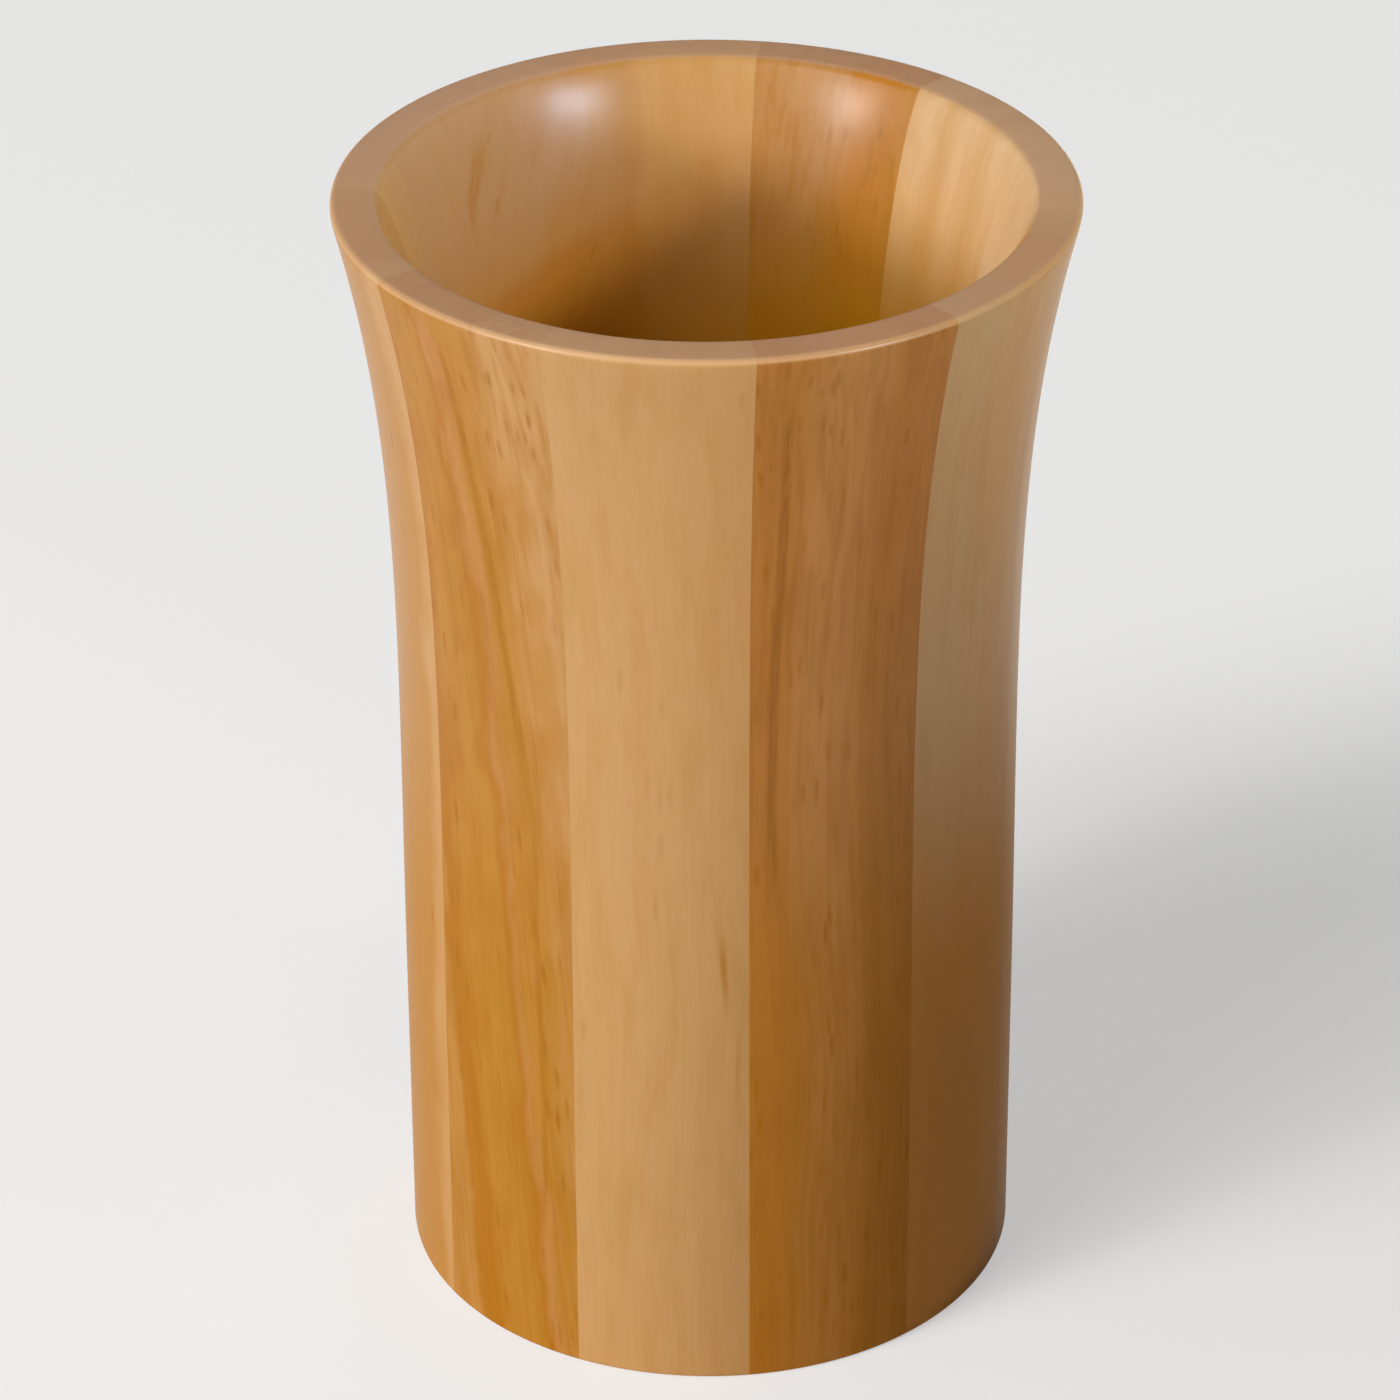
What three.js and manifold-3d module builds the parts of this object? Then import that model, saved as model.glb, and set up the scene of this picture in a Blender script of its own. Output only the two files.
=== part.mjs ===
// Toothbrush tumbler: a flared wooden cup turned from edge-glued staves, with a floor disc glued into its foot.
// Millimetres, +Z up. The origin is the centre of the foot, and +X runs through the middle of stave_01.

import * as THREE from "three";
import { mergeVertices } from "three/addons/utils/BufferGeometryUtils.js";
import Module from "manifold-3d";

// Driving dimensions of the turned wall
const HEIGHT = 115; // foot to lip
const FOOT_RADIUS = 30.4; // outside of the straight lower wall
const STRAIGHT_HEIGHT = 30; // the outside stays straight up to here and flares above
const FLARE = 5.1; // how far the lip stands out past the foot
const WALL = 6; // thickness along the straight bore
const LIP_WALL = 4.5; // thickness across the lip
const MOUTH_DEPTH = 36; // the bore opens over this depth below the lip
const LIP_ROUND = 0.9; // rounding of the lip's outer edge
const MOUTH_ROUND = 0.8; // rounding of the lip's inner edge
const FOOT_ROUND = 0.6; // rounding of the foot's outer edge

// Driving dimensions of the joints and the floor disc
const STAVE_COUNT = 11;
const GLUE_LINE = 0.3; // room for glue between any two pieces
const FLOOR_THICKNESS = 8;
const FLOOR_RECESS = 1.2; // the disc's underside stands this far above the foot
const REBATE_DEPTH = 2.5; // how far the disc is let into the wall
const FLOOR_CHAMFER = 0.5; // on the disc's two edges

// Shape of the two flare curves: their lean from upright at the lip, in degrees, and how long each
// curve keeps to the straight wall and to that lean, as shares of the curve's own height
const LIP_LEAN = 14;
const FLARE_HOLD = 0.45;
const LIP_HOLD = 0.3;
const MOUTH_LEAN = 28;
const BORE_HOLD = 0.15;
const MOUTH_HOLD = 0.28;

// Fineness of the faceted surfaces
const FACETS_PER_STAVE = 6;
const FLARE_STEPS = 14;
const MOUTH_STEPS = 8;
const ROUND_STEPS = 3;
const CUT_MARGIN = 5; // how far a cutting wedge reaches past the wood

// Colours of the oiled wood, and which of them each stave has, from stave_01 on
const WOODS = { pale: "#cba06a", honey: "#bd8342", amber: "#a8713c" };
const STAVE_WOODS = [
  "pale",
  "pale",
  "amber",
  "pale",
  "amber",
  "honey",
  "pale",
  "honey",
  "pale",
  "amber",
  "pale",
];
const FLOOR_WOOD = "honey";
const SATIN_ROUGHNESS = 0.4;

const lipRadius = FOOT_RADIUS + FLARE;
const mouthRadius = lipRadius - LIP_WALL;
const boreRadius = FOOT_RADIUS - WALL;
const rebateRadius = boreRadius + REBATE_DEPTH;
const floorTop = FLOOR_RECESS + FLOOR_THICKNESS;

const wasm = await Module();
wasm.setup();

const at = (radius, height) => new THREE.Vector2(radius, height);

// The direction of a wall at the lip, pointing up, for a lean from upright in degrees
function leaning(degrees) {
  const angle = THREE.MathUtils.degToRad(degrees);
  return at(Math.sin(angle), Math.cos(angle));
}

// A closed surface turned about +Z from an outline of radii and heights, with facets that meet at the seams
function turned(outline) {
  const firstSeam = Math.PI / 2 - Math.PI / STAVE_COUNT;
  const lathe = new THREE.LatheGeometry(
    outline,
    STAVE_COUNT * FACETS_PER_STAVE,
    firstSeam,
  );
  return lathe.rotateX(Math.PI / 2);
}

function solidFrom(geometry) {
  const bare = geometry.clone();
  bare.deleteAttribute("normal");
  bare.deleteAttribute("uv");
  const merged = mergeVertices(bare);
  const mesh = new wasm.Mesh({
    numProp: 3,
    vertProperties: merged.attributes.position.array,
    triVerts: new Uint32Array(merged.index.array),
  });
  return new wasm.Manifold(mesh);
}

function geometryFrom(solid) {
  const mesh = solid.getMesh();
  const geometry = new THREE.BufferGeometry();
  geometry.setAttribute(
    "position",
    new THREE.BufferAttribute(mesh.vertProperties, 3),
  );
  geometry.setIndex(new THREE.BufferAttribute(mesh.triVerts, 1));
  geometry.computeVertexNormals();
  return geometry;
}

// The section of the wall: up the outside, over the lip, down the bore and round the rebate for the disc
function wallSection() {
  const lipCorner = at(lipRadius, HEIGHT);
  const lipDirection = leaning(LIP_LEAN);
  const flareEnd = lipCorner
    .clone()
    .addScaledVector(lipDirection, -LIP_ROUND);
  const flareHeight = flareEnd.y - STRAIGHT_HEIGHT;
  const footEdge = new THREE.QuadraticBezierCurve(
    at(FOOT_RADIUS - FOOT_ROUND, 0),
    at(FOOT_RADIUS, 0),
    at(FOOT_RADIUS, FOOT_ROUND),
  );
  const flare = new THREE.CubicBezierCurve(
    at(FOOT_RADIUS, STRAIGHT_HEIGHT),
    at(FOOT_RADIUS, STRAIGHT_HEIGHT + FLARE_HOLD * flareHeight),
    flareEnd.clone().addScaledVector(lipDirection, -LIP_HOLD * flareHeight),
    flareEnd,
  );
  const lipEdge = new THREE.QuadraticBezierCurve(
    flareEnd,
    lipCorner,
    at(lipRadius - LIP_ROUND, HEIGHT),
  );

  const mouthCorner = at(mouthRadius, HEIGHT);
  const mouthDirection = leaning(MOUTH_LEAN);
  const mouthStart = mouthCorner
    .clone()
    .addScaledVector(mouthDirection, -MOUTH_ROUND);
  const boreTop = HEIGHT - MOUTH_DEPTH;
  const mouthHeight = mouthStart.y - boreTop;
  const mouthEdge = new THREE.QuadraticBezierCurve(
    at(mouthRadius + MOUTH_ROUND, HEIGHT),
    mouthCorner,
    mouthStart,
  );
  const mouth = new THREE.CubicBezierCurve(
    mouthStart,
    mouthStart.clone().addScaledVector(mouthDirection, -MOUTH_HOLD * mouthHeight),
    at(boreRadius, boreTop + BORE_HOLD * mouthHeight),
    at(boreRadius, boreTop),
  );

  const shoulder = floorTop + GLUE_LINE;
  return [
    at(rebateRadius, 0),
    ...footEdge.getPoints(ROUND_STEPS),
    ...flare.getPoints(FLARE_STEPS),
    ...lipEdge.getPoints(ROUND_STEPS).slice(1),
    ...mouthEdge.getPoints(ROUND_STEPS),
    ...mouth.getPoints(MOUTH_STEPS).slice(1),
    at(boreRadius, shoulder),
    at(rebateRadius, shoulder),
    at(rebateRadius, 0),
  ];
}

// The room that one stave has: a wedge about +X whose mitred sides stop half a glue line short of the seams
function staveRoom() {
  const halfAngle = Math.PI / STAVE_COUNT;
  const apex = GLUE_LINE / 2 / Math.sin(halfAngle);
  const reach = Math.max(FOOT_RADIUS, lipRadius) + CUT_MARGIN;
  const halfWidth = (reach - apex) * Math.tan(halfAngle);
  const plan = new THREE.Shape([
    at(apex, 0),
    at(reach, -halfWidth),
    at(reach, halfWidth),
  ]);
  const wedge = new THREE.ExtrudeGeometry(plan, {
    depth: HEIGHT + 2 * CUT_MARGIN,
    bevelEnabled: false,
  });
  return wedge.translate(0, 0, -CUT_MARGIN);
}

function staveGeometry() {
  const wall = solidFrom(turned(wallSection()));
  return geometryFrom(wall.intersect(solidFrom(staveRoom())));
}

// The disc that closes the foot: it goes in from below and stops at the shoulder of the rebate
function floorGeometry() {
  const edge = rebateRadius - GLUE_LINE;
  return turned([
    at(0, FLOOR_RECESS),
    at(edge - FLOOR_CHAMFER, FLOOR_RECESS),
    at(edge, FLOOR_RECESS + FLOOR_CHAMFER),
    at(edge, floorTop - FLOOR_CHAMFER),
    at(edge - FLOOR_CHAMFER, floorTop),
    at(0, floorTop),
  ]);
}

function wood(kind) {
  return new THREE.MeshStandardMaterial({
    color: WOODS[kind],
    roughness: SATIN_ROUGHNESS,
    metalness: 0,
  });
}

const staves = new THREE.Group();
const stave = staveGeometry();
for (let i = 0; i < STAVE_COUNT; i++) {
  const piece = new THREE.Mesh(stave, wood(STAVE_WOODS[i % STAVE_WOODS.length]));
  piece.name = `stave_${String(i + 1).padStart(2, "0")}`;
  piece.rotation.z = (i * 2 * Math.PI) / STAVE_COUNT;
  staves.add(piece);
}

const floorDisc = new THREE.Mesh(floorGeometry(), wood(FLOOR_WOOD));
floorDisc.name = "floor_disc";

const tumbler = new THREE.Group();
tumbler.add(staves, floorDisc);

export default tumbler;
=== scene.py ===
import math

import bmesh
import bpy
from mathutils import Matrix, Vector
from mathutils.geometry import interpolate_bezier


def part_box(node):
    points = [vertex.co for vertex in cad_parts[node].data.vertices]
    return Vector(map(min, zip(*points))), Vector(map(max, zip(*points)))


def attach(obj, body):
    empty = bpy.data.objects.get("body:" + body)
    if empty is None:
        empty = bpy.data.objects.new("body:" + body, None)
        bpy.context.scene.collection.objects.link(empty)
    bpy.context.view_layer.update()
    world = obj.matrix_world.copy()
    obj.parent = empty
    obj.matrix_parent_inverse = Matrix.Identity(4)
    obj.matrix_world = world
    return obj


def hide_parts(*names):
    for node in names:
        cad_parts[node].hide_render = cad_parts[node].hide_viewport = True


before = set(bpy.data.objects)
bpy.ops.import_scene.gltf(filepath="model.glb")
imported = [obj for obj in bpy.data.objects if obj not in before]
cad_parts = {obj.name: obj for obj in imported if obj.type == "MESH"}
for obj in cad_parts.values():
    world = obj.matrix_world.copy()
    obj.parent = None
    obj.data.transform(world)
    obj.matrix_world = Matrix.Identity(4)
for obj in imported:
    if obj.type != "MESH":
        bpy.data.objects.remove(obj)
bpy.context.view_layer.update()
scene = bpy.context.scene
mm = 0.001
up = (0, 0, 1)
print("frame loaded:", len(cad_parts), "nodes")

# camera, found by laying the cup's outline over the photograph
view = {
    "lens": 158.7,
    "sensor": 36,
    "nearest": 10 * mm,  # start of what the camera sees
    "distance": 525.2 * mm,  # level distance from the cup's axis
    "height": 363.1 * mm,
    "turn": 1.0,  # degrees round the cup, brings the seams into place
    "pitch": 30.0,  # degrees down
    "yaw": 0.09,
    "roll": -0.27,
}


def makeCamera():
    data = bpy.data.cameras.new("photoCamera")
    data.lens = view["lens"]
    data.sensor_width = view["sensor"]
    data.clip_start = view["nearest"]
    camera = bpy.data.objects.new("photoCamera", data)
    scene.collection.objects.link(camera)
    turn = Matrix.Rotation(math.radians(view["turn"]), 4, "Z")
    stand = Matrix.Translation((0, -view["distance"], view["height"]))
    yaw = Matrix.Rotation(math.radians(view["yaw"]), 4, "Z")
    pitch = Matrix.Rotation(math.radians(90 - view["pitch"]), 4, "X")
    roll = Matrix.Rotation(math.radians(view["roll"]), 4, "Z")
    camera.matrix_world = turn @ stand @ yaw @ pitch @ roll
    scene.camera = camera


makeCamera()
print("camera set")


# one wire of a shader: sums on wires add Math nodes, node() adds any other kind
class Wire:
    def __init__(self, tree, socket=None):
        self.tree = tree
        self.socket = socket

    def node(self, kind, settings=None, inputs=None, output=0):
        made = self.tree.nodes.new("ShaderNode" + kind)
        for name, value in (settings or {}).items():
            if name == "stops":
                self.setStops(made.color_ramp, value)
            else:
                setattr(made, name, value)
        for name, value in (inputs or {}).items():
            if isinstance(value, Wire):
                self.tree.links.new(value.socket, made.inputs[name])
            else:
                made.inputs[name].default_value = value
        return Wire(self.tree, made.outputs[output] if made.outputs else None)

    def setStops(self, ramp, stops):
        while len(ramp.elements) < len(stops):
            ramp.elements.new(1)
        for element, (place, colour) in zip(ramp.elements, stops):
            element.position = place
            element.color = colour

    def out(self, name):  # another output of the same node
        return Wire(self.tree, self.socket.node.outputs[name])

    def parts(self):  # the three numbers of a vector
        split = self.node("SeparateXYZ", {}, {"Vector": self})
        return split, split.out("Y"), split.out("Z")

    def math(self, operation, first, second=0.0):
        return self.node("Math", {"operation": operation}, {0: first, 1: second})

    def __add__(self, other):
        return self.math("ADD", self, other)

    def __radd__(self, other):
        return self.math("ADD", other, self)

    def __sub__(self, other):
        return self.math("SUBTRACT", self, other)

    def __rsub__(self, other):
        return self.math("SUBTRACT", other, self)

    def __mul__(self, other):
        return self.math("MULTIPLY", self, other)

    def __rmul__(self, other):
        return self.math("MULTIPLY", other, self)

    def fade(self, start, end):  # 0 at start, 1 at end, soft between
        settings = {"interpolation_type": "SMOOTHSTEP"}
        return self.node("MapRange", settings, {"Value": self, "From Min": start, "From Max": end})

    def towards(self, colour, amount):  # this colour, part of the way to another
        return self.node("Mix", {"data_type": "RGBA"}, {"Factor": amount, 6: self, 7: colour}, 2)


def tone(code):  # "#rrggbb" as the linear colour that a socket takes
    parts = [int(code[i:i + 2], 16) / 255 for i in (1, 3, 5)]
    linear = [c / 12.92 if c < 0.04045 else ((c + 0.055) / 1.055) ** 2.4 for c in parts]
    return (*linear, 1)


# wood, shared by all pieces
wood = {
    "blond": "#deb88a",
    "wheat": "#d3a975",
    "cream": "#ca9d66",
    "pale": "#c6965e",
    "ash": "#c29c70",
    "rosy": "#bb8d65",
    "fawn": "#bb8850",
    "tan": "#bb843e",
    "russet": "#bd8345",
    "copper": "#be7e32",
    "gold": "#b77f2e",
    "toffee": "#b4762e",
    "umber": "#b0721e",
    "flame": "#a86c0c",
    "amber": "#985c12",
    "pore": "#a0640a",
    "deepShade": "#c88c0e",  # painted shade: the saturated golden of light bounced low inside the cup
    "footShade": "#c47c0e",  # painted shade low outside
    "endGrain": "#c0987f",
    "edge": "#d8b088",  # painted highlight along the outer edge of the lip
    # sizes of the grain in mm: through the wall, across the stave and along it
    "broadGrain": (10, 4.5, 110),
    "blotches": (4, 2.3, 13),
    "threads": (1.6, 0.8, 26),
    "fibre": (0.5, 0.32, 6),
    "pores": (1.0, 1.0, 5.5),
    "bends": (60, 60, 40),
    "mottle": (5, 5, 9),
    # how each kind of grain comes up, between two values of its noise
    "mottleSway": 0.25,
    "streakFade": (0.40, 0.72),
    "threadFade": (0.46, 0.68),
    "fibreFade": (0.40, 0.85),
    "poreFade": (0.05, 0.42),  # from a pore's middle to its edge
    "poreChance": 0.2,  # share of the cells over which pores go from faint to full
    "poreBands": (0.35, 0.60),  # bands of the broad grain that hold pores
    "poreWobble": 0.5,
    # which way a face looks: out of the wall counts 1 and into the cup -1, up counts 1
    "inward": (-0.4, 0.2),
    "outward": (-0.2, 0.4),
    "flatEnd": (0.80, 0.97),
    "edgeUp": (-0.05, 0.40),
    "edgeOut": (0.05, 0.50),
    "lipUp": (0.50, 0.65),
    # finish: a thin clear lacquer, thinner still on the lip and low on the outside
    "endGrainShare": 0.65,
    "edgeHighlightShare": 0.6,
    "roughness": 0.40,
    "fibreRough": 0.10,
    "endRough": 0.15,
    "specular": 0.01,
    "coat": 0.52,
    "coatRoughness": 0.30,
    "lipWear": 0.92,
    "footWear": 0.85,
    "footDepth": (38, 76),  # heights in mm, from full lacquer wear and painted foot shade to none
    "bumpStrength": 0.12,
    "bumpDepth": 0.1 * mm,
    "fibreHeight": 0.4,
    "poreHeight": 0.3,
}

# single dark lines of the grain, whose places are in each stave's look
grainLine = {
    "thin": 0.4,  # least width, as a share of the line's own
    "swell": 1.2,
    "edges": (-0.6, 0.5),  # soft edge, as shares of the width
    "tail": 9,  # mm over which the lower end fades
    "tip": 5,
    "faint": 0.45,  # depth where the fibre breaks the line
    "breaks": (0.35, 0.60),
}


def woodMaterial(name, look, turn):
    material = bpy.data.materials.new(name)
    material.use_nodes = True
    tree = material.node_tree
    tree.nodes.clear()
    wire = Wire(tree)
    seed = look["seed"]

    # the piece's own axes, in mm: through the wall, across the stave and along it
    coords = wire.node("TexCoord", output="Object")
    local = wire.node("Mapping", {}, {
        "Vector": coords, "Rotation": turn, "Scale": (1 / mm, 1 / mm, 1 / mm)})
    deep, side, along = local.parts()
    facing = wire.node("Mapping", {"vector_type": "NORMAL"}, {
        "Vector": coords.out("Normal"), "Rotation": turn})
    faceDeep, faceAlong = facing.parts()[::2]

    def grain(size):  # a point in the wood, counted in grain sizes and shifted for each piece
        return wire.node("CombineXYZ", {}, {
            "X": deep * (1 / size[0]) + seed,
            "Y": side * (1 / size[1]) + 2 * seed,
            "Z": along * (1 / size[2]) + 3 * seed,
        })

    def noise(kind, detail=3.0, rough=0.55):
        return wire.node("TexNoise", {}, {
            "Vector": grain(wood[kind]), "Scale": 1.0, "Detail": detail, "Roughness": rough})

    def shaded(colour, shade, amount):
        return colour.towards(tone(wood[shade]), amount)

    # the grain wanders a little and leans off the stave's axis
    bend = (noise("bends", 1.0) - 0.5) * look["wander"]
    mottle = noise("mottle", 2.0)
    side = side + bend
    straight = side
    side = side + (along - look["pivot"]) * math.tan(math.radians(look["lean"]))
    broad = noise("broadGrain")
    blotches = noise("blotches")
    threads = noise("threads", 2.0, 0.5)
    fibre = noise("fibre", 4.0, 0.65)

    # shades across the stave, then streaks, threads and fibre over them
    across = side * (1 / look["width"]) + 0.5
    across = across + (broad - 0.5) * look["sway"] + (mottle - 0.5) * wood["mottleSway"]
    stops = [(spot, tone(wood[shade])) for spot, shade in look["shades"]]
    colour = wire.node("ValToRGB", {"stops": stops}, {"Fac": across})
    colour = shaded(colour, look["streakShade"], blotches.fade(*wood["streakFade"]) * look["streaks"])
    colour = shaded(colour, look["streakShade"], threads.fade(*wood["threadFade"]) * look["threads"])
    colour = shaded(colour, "pore", fibre.fade(*wood["fibreFade"]) * look["fibre"])

    # single grain lines, each from a height down to another, drifting sideways as it goes
    for line in look["lines"]:
        middle = line["side"] + (line["high"] - along) * line["drift"]
        width = line["width"] * (grainLine["thin"] + blotches * grainLine["swell"])
        inner, outer = (share * line["width"] for share in grainLine["edges"])
        near = 1 - (wire.math("ABSOLUTE", straight - middle) - width).fade(inner, outer)
        reach = along.fade(line["low"], line["low"] + grainLine["tail"])
        reach = reach * (1 - along.fade(line["high"] - grainLine["tip"], line["high"]))
        faint = grainLine["faint"]
        reach = reach * (faint + fibre.fade(*grainLine["breaks"]) * (1 - faint))
        colour = shaded(colour, line["shade"], near * reach * line["depth"])

    # pores: short soft dashes along the grain, where a vessel is cut open
    side = side + (fibre - 0.5) * wood["poreWobble"]
    cells = wire.node("TexVoronoi", {}, {"Vector": grain(wood["pores"]), "Scale": 1.0})
    chance = wire.node("SeparateColor", {}, {"Color": cells.out("Color")})
    rare = 1 - look["pores"]
    cut = chance.fade(rare, rare + wood["poreChance"]) * broad.fade(*wood["poreBands"])
    pores = (1 - cells.fade(*wood["poreFade"])) * cut
    colour = shaded(colour, "pore", pores * look["poreDepth"])

    # painted shade: golden low inside and browner low outside; paler on the end grain; a painted highlight
    # along the lip's edge
    # painted shade, deep inside the cup
    inside = (1 - faceDeep.fade(*wood["inward"])) * (1 - along.fade(*look["deepShadeDepth"]))
    # low on the outside: a painted shade in the colour, and thinner lacquer in the coat
    below = faceDeep.fade(*wood["outward"]) * (1 - along.fade(*wood["footDepth"]))
    endGrain = wire.math("ABSOLUTE", faceAlong).fade(*wood["flatEnd"]) * look["endGrain"]
    # painted highlight: paler along the lip's outer rounded edge
    edge = faceAlong.fade(*wood["edgeUp"]) * faceDeep.fade(*wood["edgeOut"])
    lip = faceAlong.fade(*wood["lipUp"])
    colour = shaded(colour, "deepShade", inside * look["deepShade"])
    # painted shade, browner low outside
    colour = shaded(colour, "footShade", below * look["foot"])
    colour = shaded(colour, "endGrain", endGrain * wood["endGrainShare"])
    colour = shaded(colour, "edge", edge * wood["edgeHighlightShare"])

    bump = wire.node("Bump", {}, {
        "Strength": wood["bumpStrength"],
        "Distance": wood["bumpDepth"],
        "Height": fibre * wood["fibreHeight"] - pores * wood["poreHeight"],
    })
    worn = below * (wood["coat"] * wood["footWear"])
    skin = wire.node("BsdfPrincipled", {}, {
        "Base Color": colour,
        "Roughness": wood["roughness"] + (fibre - 0.5) * wood["fibreRough"] + endGrain * wood["endRough"],
        "Normal": bump,
        "Specular IOR Level": wood["specular"],
        "Coat Weight": (wood["coat"] - worn) * (1 - lip * wood["lipWear"]),
        "Coat Roughness": wood["coatRoughness"],
    })
    wire.node("OutputMaterial", {}, {"Surface": skin})
    return material


# the turned wall: one section, spun through each stave's share of the circle
wall = {
    "staves": 11,
    "footRadius": 30.4 * mm,
    "straight": 30 * mm,  # outside, straight up to here
    "flare": 5.1 * mm,  # lip past the foot
    "lipLean": 14.0,  # degrees from upright
    "holds": (0.45, 0.30),  # outside curve: share that keeps to the wall, and to the lip's lean
    "bore": 24.4 * mm,
    "lipWall": 4.5 * mm,
    "mouthDepth": 36 * mm,
    "mouthLean": 28.0,
    "mouthHolds": (0.15, 0.28),  # the same for the curve of the mouth
    "rebate": 26.9 * mm,  # radius of the step that takes the floor disc
    "lipRound": 0.9 * mm,
    "mouthRound": 0.8 * mm,
    "footRound": 0.6 * mm,
    "steps": 36,  # round one stave
    "flareSteps": 40,
    "mouthSteps": 28,
    "roundSteps": 7,
    "crease": 35,  # degrees past which an edge stays crisp
}


def rounded(start, corner, end):
    firstPull, secondPull = start.lerp(corner, 2 / 3), end.lerp(corner, 2 / 3)
    return interpolate_bezier(start, firstPull, secondPull, end, wall["roundSteps"])


def wallSection():
    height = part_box("stave_01")[1].z
    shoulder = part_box("floor_disc")[1].z
    foot = wall["footRadius"]
    lip = foot + wall["flare"]
    mouth = lip - wall["lipWall"]

    def at(radius, level):
        return Vector((radius, 0, level))

    def leaning(degrees):
        return at(math.sin(math.radians(degrees)), math.cos(math.radians(degrees)))

    lipWay = leaning(wall["lipLean"])
    flareEnd = at(lip, height) - lipWay * wall["lipRound"]
    flareStart = at(foot, wall["straight"])
    rise = flareEnd.z - flareStart.z
    hold, lipHold = wall["holds"]
    flare = interpolate_bezier(
        flareStart, flareStart + at(0, hold * rise), flareEnd - lipWay * lipHold * rise, flareEnd,
        wall["flareSteps"])

    mouthWay = leaning(wall["mouthLean"])
    mouthStart = at(mouth, height) - mouthWay * wall["mouthRound"]
    boreTop = at(wall["bore"], height - wall["mouthDepth"])
    drop = mouthStart.z - boreTop.z
    boreHold, mouthHold = wall["mouthHolds"]
    throat = interpolate_bezier(
        mouthStart, mouthStart - mouthWay * mouthHold * drop, boreTop + at(0, boreHold * drop), boreTop,
        wall["mouthSteps"])

    footRound = wall["footRound"]
    return [
        at(wall["rebate"], 0),
        *rounded(at(foot - footRound, 0), at(foot, 0), at(foot, footRound)),
        *flare,
        *rounded(flareEnd, at(lip, height), at(lip - wall["lipRound"], height))[1:],
        *rounded(at(mouth + wall["mouthRound"], height), at(mouth, height), mouthStart),
        *throat[1:],
        at(wall["bore"], shoulder),
        at(wall["rebate"], shoulder),
    ]


def finishPiece(name, bm, material, node):
    bmesh.ops.recalc_face_normals(bm, faces=bm.faces[:])
    for face in bm.faces:
        face.smooth = True
    mesh = bpy.data.meshes.new(name)
    bm.to_mesh(mesh)
    bm.free()
    mesh.set_sharp_from_angle(angle=math.radians(wall["crease"]))
    mesh.materials.append(material)
    piece = bpy.data.objects.new(name, mesh)
    scene.collection.objects.link(piece)
    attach(piece, "root")
    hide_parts(node)


# what a piece's wood has unless its own look says otherwise
plain = {
    "lean": 0.0,  # of the grain, in degrees
    "pivot": 57,  # height about which a leaning grain turns
    "wander": 3.0,  # mm
    "sway": 0.4,
    "streaks": 0.3,
    "streakShade": "gold",
    "threads": 0.1,
    "fibre": 0.06,
    "pores": 0.35,
    "poreDepth": 0.5,
    "width": 18.0,  # mm over which the shades run
    "endGrain": 1.0,
    # share of the painted shade low inside
    "deepShade": 0.9,
    "deepShadeDepth": (82, 106),  # inside, heights in mm between which the painted deep shade goes from full to none
    "foot": 0.0,  # share of the painted shade low outside
    "lines": [],
}

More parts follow.
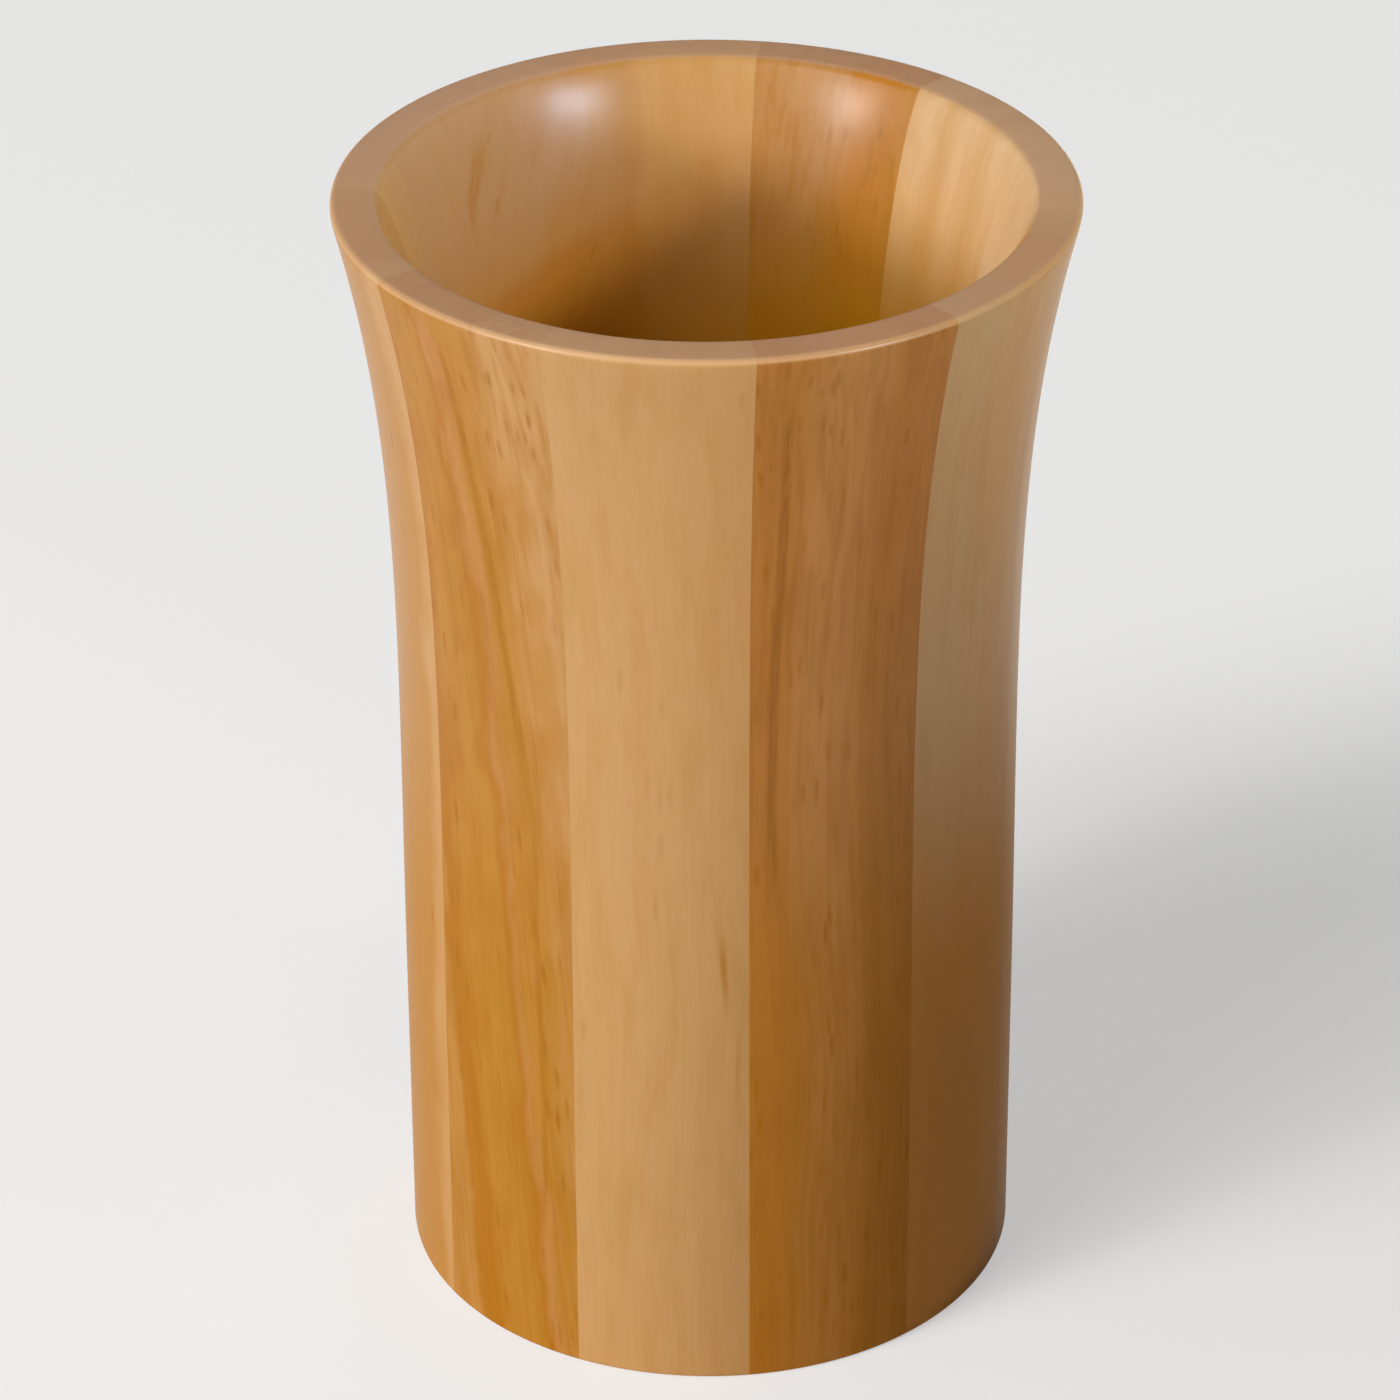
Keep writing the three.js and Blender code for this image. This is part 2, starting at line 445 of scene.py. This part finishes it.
# what differs from stave to stave; shades run across it, from left to right seen from outside
staveLooks = {
    "stave_01": {
        "shades": [(0.0, "cream"), (0.5, "blond"), (1.0, "blond")],
        "streaks": 0.1, "pores": 0.1, "foot": 0.6,
    },
    "stave_02": {
        "shades": [(0.0, "blond"), (0.22, "blond"), (0.37, "wheat"), (0.50, "blond"), (0.56, "blond"),
                   (0.70, "wheat"), (0.84, "blond"), (1.0, "wheat")],
        "wander": 1.0, "sway": 0.1, "streaks": 0.1, "pores": 0.1, "deepShadeDepth": (88, 113), "foot": 0.4,
    },
    "stave_03": {
        "shades": [(0.0, "tan"), (0.18, "copper"), (0.38, "copper"), (0.54, "fawn"), (1.0, "fawn")],
        "streaks": 0.3, "streakShade": "flame", "threads": 0.35, "pores": 0.7, "poreDepth": 0.6,
        "deepShadeDepth": (86, 107), "foot": 0.25,
    },
    "stave_04": {
        "shades": [(0.0, "cream"), (0.3, "pale"), (0.62, "pale"), (0.72, "fawn"), (1.0, "fawn")],
        "sway": 0.1, "streaks": 0.2, "pores": 0.1,
    },
    "stave_05": {
        "shades": [(0.0, "fawn"), (0.30, "fawn"), (0.54, "rosy"), (1.0, "rosy")],
        "lean": 24.0, "pivot": 100, "sway": 0.1, "streakShade": "toffee", "pores": 0.2,
        "lines": [
            {"side": 3.5, "high": 113, "low": 100, "drift": 0.6, "width": 0.9,
             "shade": "flame", "depth": 0.6},
        ],
    },
    "stave_06": {
        "shades": [(0.0, "rosy"), (0.5, "rosy"), (1.0, "pale")],
        "streaks": 0.15, "pores": 0.2,
    },
    "stave_07": {
        "shades": [(0.0, "fawn"), (0.3, "fawn"), (0.62, "tan"), (0.82, "tan"), (0.93, "pale"),
                   (1.0, "pale")],
        "sway": 0.1, "streaks": 0.2, "pores": 0.2,
    },
    "stave_08": {
        "shades": [(0.0, "tan"), (0.13, "tan"), (0.18, "umber"), (0.28, "umber"), (0.36, "gold"),
                   (0.44, "gold"), (0.50, "umber"), (0.55, "russet"), (0.64, "gold"), (0.73, "tan"),
                   (0.85, "pale"), (1.0, "pale")],
        "lean": 5.0, "width": 27.0, "wander": 2.0, "sway": 0.2, "streaks": 0.45, "streakShade": "flame",
        "threads": 0.35, "pores": 0.8, "poreDepth": 0.8,
        "lines": [
            {"side": -2.3, "high": 114, "low": 62, "drift": 0.13, "width": 0.45,
             "shade": "flame", "depth": 1.0},
            {"side": 4.6, "high": 62, "low": 14, "drift": 0.02, "width": 0.3,
             "shade": "flame", "depth": 0.6},
        ],
    },
    "stave_09": {
        "shades": [(0.0, "cream"), (0.4, "cream"), (1.0, "pale")],
        "streaks": 0.3, "streakShade": "tan", "fibre": 0.1, "pores": 0.15, "poreDepth": 0.3,
        "lines": [
            {"side": 5.8, "high": 53, "low": 40, "drift": 0.01, "width": 0.3,
             "shade": "flame", "depth": 0.7},
            {"side": 7.0, "high": 42, "low": 28, "drift": 0.01, "width": 0.2,
             "shade": "flame", "depth": 0.35},
        ],
    },
    "stave_10": {
        "shades": [(0.0, "toffee"), (0.2, "toffee"), (0.38, "russet"), (0.55, "russet"), (0.75, "toffee"),
                   (1.0, "toffee")],
        "streaks": 0.35, "streakShade": "amber", "threads": 0.3, "pores": 0.7, "poreDepth": 0.85,
        "foot": 0.3,
        "lines": [
            {"side": -6.5, "high": 111, "low": 52, "drift": 0.008, "width": 0.5,
             "shade": "amber", "depth": 0.9},
        ],
    },
    "stave_11": {
        "shades": [(0.0, "ash"), (0.3, "ash"), (0.6, "pale"), (1.0, "pale")],
        "streaks": 0.2, "streakShade": "toffee", "pores": 0.1, "foot": 0.75,
    },
}


def makeStaves():
    outline = wallSection()
    share = 2 * math.pi / wall["staves"]
    for i, (node, look) in enumerate(staveLooks.items()):
        bm = bmesh.new()
        section = bm.faces.new([bm.verts.new(point) for point in outline])
        start = Matrix.Rotation((i - 0.5) * share, 3, "Z")
        bmesh.ops.rotate(bm, verts=bm.verts[:], cent=(0, 0, 0), matrix=start)
        bmesh.ops.spin(bm, geom=bm.verts[:] + bm.edges[:] + [section], cent=(0, 0, 0), axis=up,
                       angle=share, steps=wall["steps"])
        look = {**plain, **look, "seed": 3.7 * i + 1}  # far apart, so no two staves share a pattern
        material = woodMaterial(f"wood_{node}", look, (0, 0, -i * share))
        finishPiece(f"turned_{node}", bm, material, node)


makeStaves()
print("staves made:", len(staveLooks))

# the floor disc, let into the foot from below
floorDisc = {
    "chamfer": 0.5 * mm,
    "steps": 96,
    "merge": 0.001 * mm,  # closes the middle after the spin
    "look": {
        "shades": [(0.0, "gold"), (0.4, "toffee"), (0.7, "gold"), (1.0, "tan")],
        "width": 54.0, "streaks": 0.5, "streakShade": "amber", "endGrain": 0.0, "seed": 51.3,
    },
}


def makeFloorDisc():
    low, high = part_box("floor_disc")
    edge = high.x
    chamfer = floorDisc["chamfer"]
    outline = [(0, low.z), (edge - chamfer, low.z), (edge, low.z + chamfer),
               (edge, high.z - chamfer), (edge - chamfer, high.z), (0, high.z)]
    bm = bmesh.new()
    points = [bm.verts.new((radius, 0, level)) for radius, level in outline]
    for first, second in zip(points, points[1:]):
        bm.edges.new((first, second))
    bmesh.ops.spin(bm, geom=bm.verts[:] + bm.edges[:], cent=(0, 0, 0), axis=up, angle=2 * math.pi,
                   steps=floorDisc["steps"], use_merge=True)
    bmesh.ops.remove_doubles(bm, verts=bm.verts[:], dist=floorDisc["merge"])
    lying = (math.pi / 2, 0, 0)  # its grain runs level
    material = woodMaterial("wood_floor", {**plain, **floorDisc["look"]}, lying)
    finishPiece("turned_floor_disc", bm, material, "floor_disc")


makeFloorDisc()
print("floor disc made")

# the studio: pale floor, soft boxes at the left and behind, small lamps at the right, pale room
studio = {
    "floorSize": 6.0,
    "floorColour": (0.95, 0.95, 0.95, 1),
    "floorGlow": 0.62,  # share of plain white in what the camera sees of the floor
    "shadowGlow": 0.48,  # the same, where the cup's shadow falls
    "shadowTurn": 25.0,  # which way the shadow falls, in degrees
    "shadowMiddle": 80 * mm,
    "shadowSize": (120 * mm, 85 * mm),
    "shadowFade": (0.5, 1.2),  # of that size
    "roomColour": (1, 1, 1, 1),
    "roomStrength": 0.04,
    "cupMiddle": (0, 0, 50 * mm),  # lamps are placed from here
}
softBox = {
    "distance": 1.8,
    "aim": 50 * mm,  # height on the cup's axis
    "spread": 170,  # degrees
    "colour": (1.0, 0.98, 0.95),
    "diffuse": True,  # lights the wood itself
    "glossy": True,  # shows in the lacquer
}
lamps = {
    "keyBox": {"azimuth": 217, "elevation": 20, "size": (0.8, 0.6), "watts": 10.5},
    "windowBox": {"azimuth": 217, "elevation": 16, "size": (0.24, 0.24), "watts": 8.5},
    "mainBox": {"azimuth": 222, "elevation": 50, "size": (0.8, 0.8), "watts": 10.5},
    "backBox": {"azimuth": 75, "elevation": 12, "size": (0.8, 0.5), "watts": 3, "colour": (1.0, 1.0, 1.0)},
    "rightFill": {"azimuth": 335, "elevation": 30, "distance": 0.6, "aim": 125 * mm, "size": (0.10, 0.10),
                  "spread": 14, "watts": 0.02, "colour": (1.0, 0.85, 0.50), "glossy": False},
    "mouthSnoot": {"azimuth": 340, "elevation": 26, "distance": 0.6, "aim": 141 * mm, "size": (0.08, 0.06),
                   "spread": 6, "watts": 0.008, "colour": (0.35, 0.70, 1.0), "glossy": False},
    "glintBox": {"azimuth": 320, "elevation": 20, "distance": 1.0, "aim": 120 * mm, "size": (0.30, 0.03),
                 "spread": 40, "watts": 0.38, "colour": (0.55, 0.75, 1.0), "diffuse": False},
}


def whiteWhereSeen(wire):  # 1 for the rays that show a background, 0 for those that light the cup
    rays = wire.node("LightPath", output="Is Camera Ray")
    glossy = wire.math("MAXIMUM", rays, rays.out("Is Glossy Ray"))
    return wire.math("MAXIMUM", glossy, rays.out("Is Transmission Ray"))


def makeFloor():
    bm = bmesh.new()
    bmesh.ops.create_grid(bm, x_segments=1, y_segments=1, size=studio["floorSize"] / 2)
    mesh = bpy.data.meshes.new("paleFloor")
    bm.to_mesh(mesh)
    bm.free()
    ground = bpy.data.objects.new("paleFloor", mesh)
    scene.collection.objects.link(ground)
    material = bpy.data.materials.new("paleFloor")
    material.use_nodes = True
    material.node_tree.nodes.clear()
    wire = Wire(material.node_tree)
    matt = wire.node("BsdfDiffuse", {}, {"Color": studio["floorColour"]})
    white = wire.node("Emission", {}, {"Strength": 1.0})
    # a painted shadow: less white in a soft oval where the cup's shadow falls, so that the shadow keeps
    # its depth
    way = math.radians(studio["shadowTurn"])
    middle = Vector((math.cos(way), math.sin(way), 0)) * studio["shadowMiddle"]
    spot = wire.node("Mapping", {"vector_type": "TEXTURE"}, {
        "Vector": wire.node("TexCoord", output="Object"),
        "Location": middle,
        "Rotation": (0, 0, way),
        "Scale": (*studio["shadowSize"], 1),
    })
    away = wire.node("VectorMath", {"operation": "LENGTH"}, {0: spot}, "Value")
    lighter = studio["floorGlow"] - studio["shadowGlow"]
    glow = studio["shadowGlow"] + away.fade(*studio["shadowFade"]) * lighter
    share = whiteWhereSeen(wire) * glow
    seen = wire.node("MixShader", {}, {0: share, 1: matt, 2: white})
    wire.node("OutputMaterial", {}, {"Surface": seen})
    mesh.materials.append(material)


def makeLamps():
    for name, own in lamps.items():
        values = {**softBox, **own}
        data = bpy.data.lights.new(name, "AREA")
        data.shape = "RECTANGLE"
        data.size, data.size_y = values["size"]
        data.spread = math.radians(values["spread"])
        data.energy = values["watts"]
        data.color = values["colour"]
        lamp = bpy.data.objects.new(name, data)
        scene.collection.objects.link(lamp)
        turn, lift = math.radians(values["azimuth"]), math.radians(values["elevation"])
        away = Vector((math.cos(turn) * math.cos(lift), math.sin(turn) * math.cos(lift), math.sin(lift)))
        lamp.location = Vector(studio["cupMiddle"]) + away * values["distance"]
        back = lamp.location - Vector((0, 0, values["aim"]))
        lamp.rotation_euler = back.to_track_quat("Z", "Y").to_euler()
        lamp.visible_diffuse = values["diffuse"]
        lamp.visible_glossy = values["glossy"]


def makeRoom():
    room = bpy.data.worlds.new("paleRoom")
    scene.world = room
    room.use_nodes = True
    room.node_tree.nodes.clear()
    wire = Wire(room.node_tree)
    strength = studio["roomStrength"] + whiteWhereSeen(wire) * (1 - studio["roomStrength"])
    glow = wire.node("Background", {}, {"Color": studio["roomColour"], "Strength": strength})
    wire.node("OutputWorld", {}, {"Surface": glow})


makeFloor()
makeLamps()
makeRoom()
scene.view_settings.view_transform = "Standard"
print("studio set")
